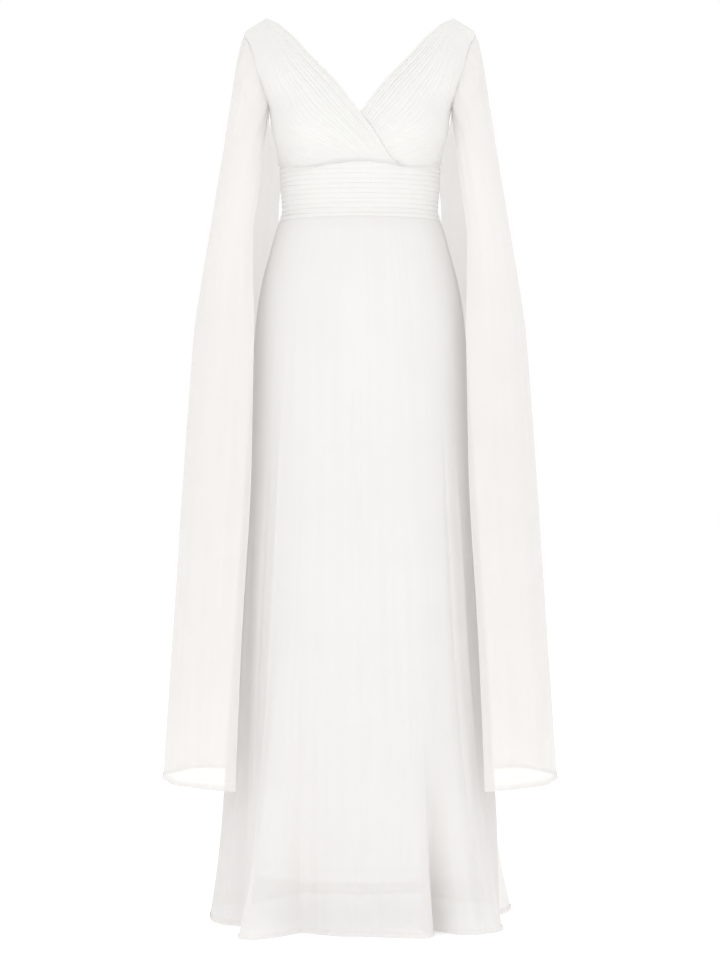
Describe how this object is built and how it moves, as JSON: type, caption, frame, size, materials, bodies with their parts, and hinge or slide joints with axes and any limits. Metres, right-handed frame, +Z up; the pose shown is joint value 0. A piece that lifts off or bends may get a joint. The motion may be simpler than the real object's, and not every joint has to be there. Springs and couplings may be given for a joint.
{
  "type": "evening dress",
  "caption": "Full-length chiffon evening dress in worn form: pleated wrap bodice, deep V neck and back, pleated waistband, sheer overskirt on a lining, open cape sleeves.",
  "frame": {"origin": "midway between the tops of the two shoulder seams, where the wearer's shoulders carry the dress", "axes": "+Z up to the shoulders, +X to the wearer's left, -Y out of the front of the dress"},
  "size_m": [0.6628, 0.4762, 1.509],
  "materials": {
    "chiffon": "matt pleated chiffon, ivory white, backed",
    "sheer_chiffon": "sheer matt chiffon, ivory white",
    "lining": "smooth satin-back lining, ivory white",
    "zip_coil": "nylon coil and tape",
    "zip_metal": "enamelled zinc"
  },
  "bodies": {
    "dress": {"bodice_front_over": "chiffon", "bodice_front_under": "chiffon", "bodice_back_left": "chiffon", "bodice_back_right": "chiffon", "waistband_front": "chiffon", "waistband_back_left": "chiffon", "waistband_back_right": "chiffon", "skirt_front": "sheer_chiffon", "skirt_back_left": "sheer_chiffon", "skirt_back_right": "sheer_chiffon", "lining_front": "lining", "lining_back_left": "lining", "lining_back_right": "lining", "sleeve_left": "sheer_chiffon", "sleeve_right": "sheer_chiffon", "zip_chain": "zip_coil", "zip_slider": "zip_metal"},
    "zip_pull_tab": {"zip_pull": "zip_metal"}
  },
  "joints": [
    {"name": "zip_pull_swing", "type": "hinge", "parent": "dress", "child": "zip_pull_tab", "pos_m": [0, 0.0971, -0.226], "axis": [1, 0, 0], "range_deg": [0, 150]}
  ]
}
